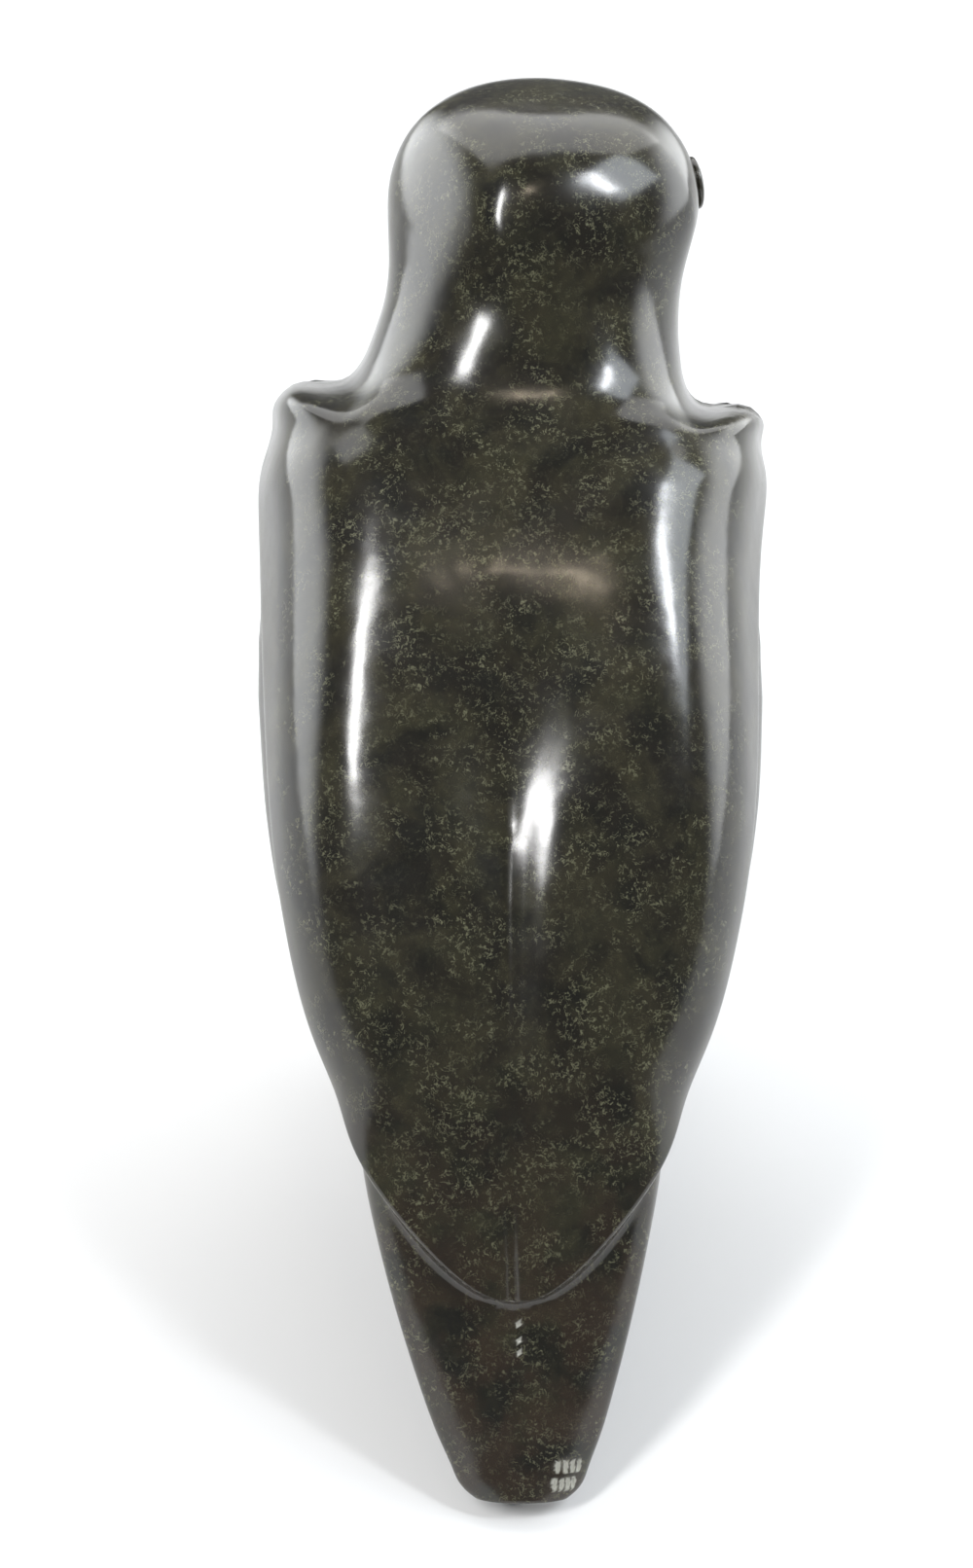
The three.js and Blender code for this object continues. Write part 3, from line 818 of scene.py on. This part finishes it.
def stone_material(name, grain, stone, finish):
    """The polished skin, or the sawn underside, of the same stone."""
    material = bpy.data.materials.new(name)
    material.use_nodes = True
    tree = material.node_tree
    tree.nodes.clear()
    n = Nodes(tree)
    place = n.add("ShaderNodeTexCoord").outputs["Object"]
    point = n.add("ShaderNodeMapping", {"Vector": place, "Scale": (1000, 1000, 1000)}).outputs["Vector"]
    height = n.add("ShaderNodeSeparateXYZ", {"Vector": point}).outputs["Z"]
    warmth = n.ramp(height, 20.0, 80.0, 0.75, 0.12)
    made = n.group(grain, {
        "Point": point, "Ground": linear(stone.ground), "Cloud": linear(stone.cloud), "Warm": linear(stone.warm),
        "Fleck": linear(stone.fleck), "Fleck Size": stone.fleck_size / MM, "Cloud Size": stone.cloud_size / MM,
        "Warmth": warmth,
    }).outputs
    haze = n.noise(point, 0.12, 3.0, 0.6)
    shader = n.add("ShaderNodeBsdfPrincipled", {"IOR": 1.6})
    if finish == "polished":
        # Convex creased edges are painted paler, partly as rubbed wear and partly as a painted highlight line
        # along the edges; the rubbing also roughens them.
        pale_stone_and_highlight = n.add("ShaderNodeAttribute", attribute_name="pale_stone_and_highlight").outputs["Fac"]
        wear_and_highlight_patches = n.ramp(n.noise(point, 0.7, 3.0, 0.6), 0.3, 0.65)
        wear_and_highlight = n.maths("MULTIPLY", pale_stone_and_highlight, wear_and_highlight_patches, clamp=True)
        skin_colour_and_highlight = n.mix(n.maths("MULTIPLY", wear_and_highlight, 0.75), made["Color"], linear(stone.pale_stone_and_highlight))
        bruise = n.add("ShaderNodeAttribute", attribute_name="chalk").outputs["Fac"]
        n.feed(shader, "Base Color", n.mix(n.maths("MULTIPLY", bruise, 0.8), skin_colour_and_highlight, linear(stone.bruise)))
        polish = n.ramp(haze, 0.3, 0.7, stone.polish * 0.85, stone.polish * 1.2)
        polish = n.maths("ADD", polish, n.maths("MULTIPLY", made["Flecks"], 0.05))
        n.feed(shader, "Roughness", n.maths("ADD", polish, n.maths("MULTIPLY", wear_and_highlight, 0.25)))
        ripple = n.noise(point, 0.09, 2.0)
        fine = n.noise(point, 1.4, 2.0)
        relief = n.maths("ADD", n.maths("MULTIPLY", ripple, 1.0), n.maths("MULTIPLY", fine, 0.02))
        bump = n.add("ShaderNodeBump", {"Height": relief, "Strength": 0.35, "Distance": 0.0004})
    else:
        pale = n.mix(0.35, made["Color"], linear(stone.pale_stone_and_highlight))
        n.feed(shader, "Base Color", pale)
        n.feed(shader, "Roughness", n.ramp(haze, 0.3, 0.7, 0.62, 0.8))
        saw = n.add("ShaderNodeTexNoise", {
            "Vector": n.add("ShaderNodeMapping", {"Vector": point, "Scale": (1.6, 0.05, 1.0)}).outputs["Vector"],
            "Scale": 1.0, "Detail": 3.0,
        }).outputs["Fac"]
        bump = n.add("ShaderNodeBump", {"Height": saw, "Strength": 0.5, "Distance": 0.0003})
    n.feed(shader, "Normal", bump.outputs["Normal"])
    n.add("ShaderNodeOutputMaterial", {"Surface": shader.outputs["BSDF"]})
    return material


def plain_material(name, rgb, roughness):
    material = bpy.data.materials.new(name)
    material.use_nodes = True
    shader = material.node_tree.nodes["Principled BSDF"]
    shader.inputs["Base Color"].default_value = linear(rgb)
    shader.inputs["Roughness"].default_value = roughness
    return material


# ---- operators -----------------------------------------------------------------------------------


class HAWK_OT_carve(bpy.types.Operator):
    """Carve the bird and its rock as one piece of stone and polish it"""

    bl_idname = "hawk.carve"
    bl_label = "Carve the hawk"

    def execute(self, context):
        shape, stone, _ = settings(context)
        skin = Skin(shape)
        bird = object_from(bird_skin(skin), "soapstone_hawk")
        strokes = [skin.at(s, math.radians(turn), -1, False) for s in STROKE_ROWS for turn in STROKE_TURNS]
        specks = [skin.at(s, SPECK_TURN, -1, False) for s in SPECK_ROWS]
        cuts = [eye_ring(skin, side) for side in (1, -1)]
        cuts += [marks(strokes, *STROKE, 1), marks(specks, *SPECK, 2)]
        joined(bird, cuts, "DIFFERENCE")
        additions = [eye_ball(skin, side) for side in (1, -1)]
        additions += [beak(skin), mound(CORE, 120), mound(ROCK, 160)]
        for side in (1, -1):
            additions += leg(side)
        for part in additions:
            joined(bird, [part], "UNION")
        soften_creases(bird, CREASE_ANGLE, CREASE_ROUNDS, WEAR_AND_HIGHLIGHT_ROUNDS)
        chalk(bird, strokes + specks)
        grain = stone_grain()
        bird.data.materials.clear()
        bird.data.materials.append(stone_material("polished soapstone", grain, stone, "polished"))
        bird.data.materials.append(stone_material("sawn soapstone", grain, stone, "sawn"))
        for face in bird.data.polygons:
            face.use_smooth = True
            if face.center.z < GROUND_LEVEL:
                face.material_index = 1
                face.use_smooth = False
        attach(bird, "root")
        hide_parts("bird")
        print("triangles", sum(len(p.vertices) - 2 for p in bird.data.polygons))
        return {"FINISHED"}


BIRD_MIDDLE = (0, -6.9 * MM, 93.2 * MM)
CAMERA_LENS = 67.1
CAMERA_ASIDE = 4.2 * MM
CAMERA_UP = -7.3 * MM


class HAWK_OT_stage(bpy.types.Operator):
    """Set up the floor, the lights and the camera"""

    bl_idname = "hawk.stage"
    bl_label = "Set the stage"

    def execute(self, context):
        _, _, stage = settings(context)
        scene = context.scene
        floor = bpy.data.meshes.new("floor")
        half = 3.0
        corners = [(-half, -half, 0), (half, -half, 0), (half, half, 0), (-half, half, 0)]
        floor.from_pydata(corners, [], [(0, 1, 2, 3)])
        ground = bpy.data.objects.new("floor", floor)
        floor.materials.append(plain_material("studio floor", stage.floor, 0.6))
        scene.collection.objects.link(ground)
        middle = Vector(BIRD_MIDDLE)
        self.camera(scene, stage, middle)
        self.lights(scene, middle)
        scene.view_settings.view_transform = "Standard"
        return {"FINISHED"}

    def camera(self, scene, stage, middle):
        data = bpy.data.cameras.new("camera")
        data.lens = CAMERA_LENS
        data.clip_end = 20
        camera = bpy.data.objects.new("camera", data)
        rise = stage.camera_height
        back = Vector((0, math.cos(rise), math.sin(rise)))
        up = Vector((0, -math.sin(rise), math.cos(rise)))
        shift = Vector((CAMERA_ASIDE, 0, 0)) + up * CAMERA_UP
        camera.location = middle + back * stage.camera_distance + shift
        camera.rotation_mode = "QUATERNION"
        camera.rotation_quaternion = back.to_track_quat("Z", "Y")
        scene.collection.objects.link(camera)
        scene.camera = camera

    def lights(self, scene, middle):
        world = bpy.data.worlds.new("studio")
        world.use_nodes = True
        # Dim all round, and bright at both sides and beyond the bird, so that only the flanks mirror it.
        n = Nodes(world.node_tree)
        direction = n.add("ShaderNodeTexCoord").outputs["Generated"]
        way = n.add("ShaderNodeSeparateXYZ", {"Vector": direction}).outputs
        aside = n.maths("MULTIPLY_ADD", way["Y"], -0.55, n.maths("ABSOLUTE", way["X"]))
        backdrop = world.node_tree.nodes["Background"]
        backdrop.inputs["Color"].default_value = (0.97, 0.99, 1, 1)
        n.feed(backdrop, "Strength", n.ramp(aside, 0.8, 1.05, 0.2, 4.5))
        scene.world = world

        def area(name, azimuth, height, distance, size, power, tint=(1, 1, 1)):
            data = bpy.data.lights.new(name, "AREA")
            data.shape = "RECTANGLE"
            data.size, data.size_y = size
            data.energy = power
            data.color = tint
            lamp = bpy.data.objects.new(name, data)
            a, e = math.radians(azimuth), math.radians(height)
            out = Vector((-math.sin(a) * math.cos(e), math.cos(a) * math.cos(e), math.sin(e)))
            lamp.location = middle + out * distance
            lamp.rotation_mode = "QUATERNION"
            lamp.rotation_quaternion = out.to_track_quat("Z", "Y")
            scene.collection.objects.link(lamp)

        # Azimuth 0 is behind the camera, and positive to the right of the picture.
        area("left strip", -42, 50, 1.2, (0.17, 0.58), 10)
        area("right strip", 62, 54, 1.2, (0.1, 0.34), 4, (0.93, 0.96, 1.0))
        area("warm lamp", 5, 66, 1.2, (0.05, 0.05), 0.25, (1.0, 0.85, 0.65))
        area("window", 78, 50, 1.5, (0.8, 0.7), 9, (0.88, 0.94, 1.0))
        area("overhead", 180, 54, 1.5, (2.2, 1.4), 22)


class HAWK_PT_panel(bpy.types.Panel):
    """Sizes, colours and steps of the soapstone hawk"""

    bl_idname = "HAWK_PT_panel"
    bl_label = "Soapstone hawk"
    bl_space_type = "VIEW_3D"
    bl_region_type = "UI"
    bl_category = "Hawk"

    def draw(self, context):
        for group in settings(context):
            box = self.layout.box()
            for name in group.bl_rna.properties.keys():
                if name not in ("rna_type", "name"):
                    box.prop(group, name)
        for operator in (HAWK_OT_carve, HAWK_OT_stage):
            self.layout.operator(operator.bl_idname)


CLASSES = (HawkShape, HawkStone, HawkStage, HAWK_OT_carve, HAWK_OT_stage, HAWK_PT_panel)


def register():
    for cls in CLASSES:
        bpy.utils.register_class(cls)
    bpy.types.Scene.hawk_shape = bpy.props.PointerProperty(type=HawkShape)
    bpy.types.Scene.hawk_stone = bpy.props.PointerProperty(type=HawkStone)
    bpy.types.Scene.hawk_stage = bpy.props.PointerProperty(type=HawkStage)


def unregister():
    for name in ("hawk_shape", "hawk_stone", "hawk_stage"):
        delattr(bpy.types.Scene, name)
    for cls in reversed(CLASSES):
        bpy.utils.unregister_class(cls)


def main():
    register()
    bpy.ops.hawk.carve()
    bpy.ops.hawk.stage()


if __name__ == "__main__":
    main()
